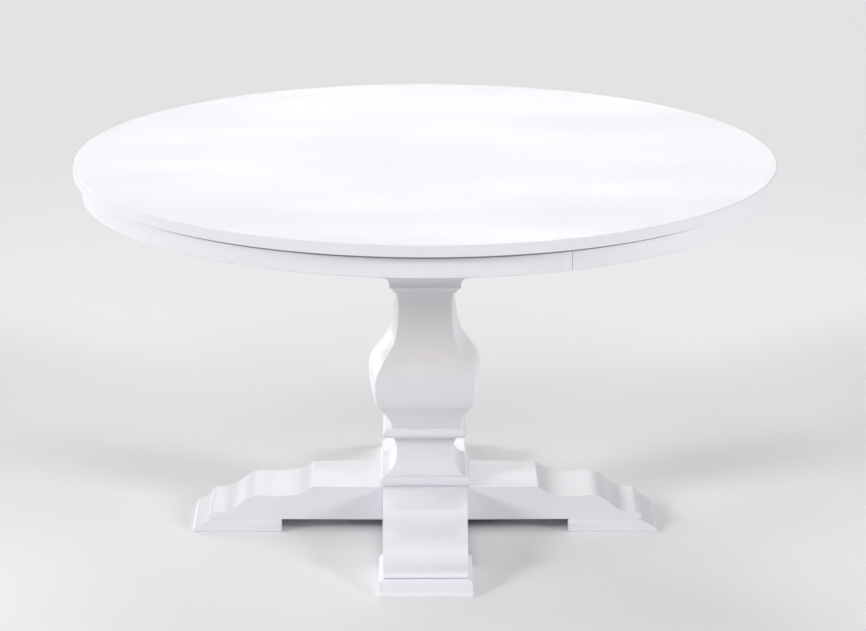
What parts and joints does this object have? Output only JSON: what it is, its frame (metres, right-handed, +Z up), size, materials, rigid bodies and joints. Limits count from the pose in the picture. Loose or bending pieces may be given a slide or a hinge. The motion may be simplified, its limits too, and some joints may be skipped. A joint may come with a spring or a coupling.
{
  "type": "round pedestal table",
  "caption": "Round table: a disc top with a bent apron on a square vase-shaped column, standing on four cross legs with foot pads and levelling screws.",
  "frame": {"origin": "on the floor, under the centre of the round top", "axes": "+Z up through the column; the front leg points to -Y and the right leg to +X"},
  "size_m": [1.4, 1.4, 0.76],
  "materials": {
    "white_paint": "satin white paint, brushed along the grain",
    "bare_wood": "bare sanded hardwood",
    "zinc_steel": "zinc-plated",
    "black_steel": "black powder coat",
    "black_plastic": "moulded"
  },
  "bodies": {
    "table": {"apron_closer_front": "white_paint", "apron_closer_rear": "white_paint", "apron_half_left": "white_paint", "apron_half_right": "white_paint", "base_ring": "white_paint", "bearer_front": "bare_wood", "bearer_rear": "bare_wood", "capital": "white_paint", "collar_ring": "white_paint", "foot_pad_front": "white_paint", "foot_pad_left": "white_paint", "foot_pad_rear": "white_paint", "foot_pad_right": "white_paint", "hub_block": "white_paint", "leg_front": "white_paint", "leg_left": "white_paint", "leg_rear": "white_paint", "leg_right": "white_paint", "leg_tenon_front": "bare_wood", "leg_tenon_left": "bare_wood", "leg_tenon_rear": "bare_wood", "leg_tenon_right": "bare_wood", "lower_neck": "white_paint", "mounting_plate": "white_paint", "plate_bolt_1": "zinc_steel", "plate_bolt_2": "zinc_steel", "plate_bolt_3": "zinc_steel", "plate_bolt_4": "zinc_steel", "spider_plate": "black_steel", "spider_screw_front": "zinc_steel", "spider_screw_left": "zinc_steel", "spider_screw_rear": "zinc_steel", "spider_screw_right": "zinc_steel", "splice_block_front": "bare_wood", "splice_block_rear": "bare_wood", "tabletop": "white_paint", "threaded_insert_front": "zinc_steel", "threaded_insert_left": "zinc_steel", "threaded_insert_rear": "zinc_steel", "threaded_insert_right": "zinc_steel", "tie_rod": "zinc_steel", "tie_rod_nut_lower": "zinc_steel", "tie_rod_nut_upper": "zinc_steel", "tie_rod_washer_lower": "zinc_steel", "tie_rod_washer_upper": "zinc_steel", "top_screw_1": "zinc_steel", "top_screw_2": "zinc_steel", "top_screw_3": "zinc_steel", "top_screw_4": "zinc_steel", "vase_column": "white_paint"},
    "glide_right": {"levelling_glide_right": "black_plastic"},
    "stud_right": {"levelling_stud_right": "zinc_steel"},
    "glide_rear": {"levelling_glide_rear": "black_plastic"},
    "stud_rear": {"levelling_stud_rear": "zinc_steel"},
    "glide_left": {"levelling_glide_left": "black_plastic"},
    "stud_left": {"levelling_stud_left": "zinc_steel"},
    "glide_front": {"levelling_glide_front": "black_plastic"},
    "stud_front": {"levelling_stud_front": "zinc_steel"}
  },
  "joints": [
    {"name": "level_right", "type": "slide", "parent": "table", "child": "glide_right", "axis": [0, 0, -1], "range_m": [0, 0.012]},
    {"name": "stud_turn_right", "type": "hinge", "parent": "glide_right", "child": "stud_right", "pos_m": [0.36, 0, 0.02], "axis": [0, 0, -1], "range_deg": [0, 3457]},
    {"name": "level_rear", "type": "slide", "parent": "table", "child": "glide_rear", "axis": [0, 0, -1], "range_m": [0, 0.012]},
    {"name": "stud_turn_rear", "type": "hinge", "parent": "glide_rear", "child": "stud_rear", "pos_m": [0, 0.36, 0.02], "axis": [0, 0, -1], "range_deg": [0, 3457]},
    {"name": "level_left", "type": "slide", "parent": "table", "child": "glide_left", "axis": [0, 0, -1], "range_m": [0, 0.012]},
    {"name": "stud_turn_left", "type": "hinge", "parent": "glide_left", "child": "stud_left", "pos_m": [-0.36, 0, 0.02], "axis": [0, 0, -1], "range_deg": [0, 3457]},
    {"name": "level_front", "type": "slide", "parent": "table", "child": "glide_front", "axis": [0, 0, -1], "range_m": [0, 0.012]},
    {"name": "stud_turn_front", "type": "hinge", "parent": "glide_front", "child": "stud_front", "pos_m": [0, -0.36, 0.02], "axis": [0, 0, -1], "range_deg": [0, 3457]}
  ],
  "couplings": [
    {"joint": "stud_turn_right", "follows": "level_right", "rad_per_m": 5026.5},
    {"joint": "stud_turn_rear", "follows": "level_rear", "rad_per_m": 5026.5},
    {"joint": "stud_turn_left", "follows": "level_left", "rad_per_m": 5026.5},
    {"joint": "stud_turn_front", "follows": "level_front", "rad_per_m": 5026.5}
  ]
}
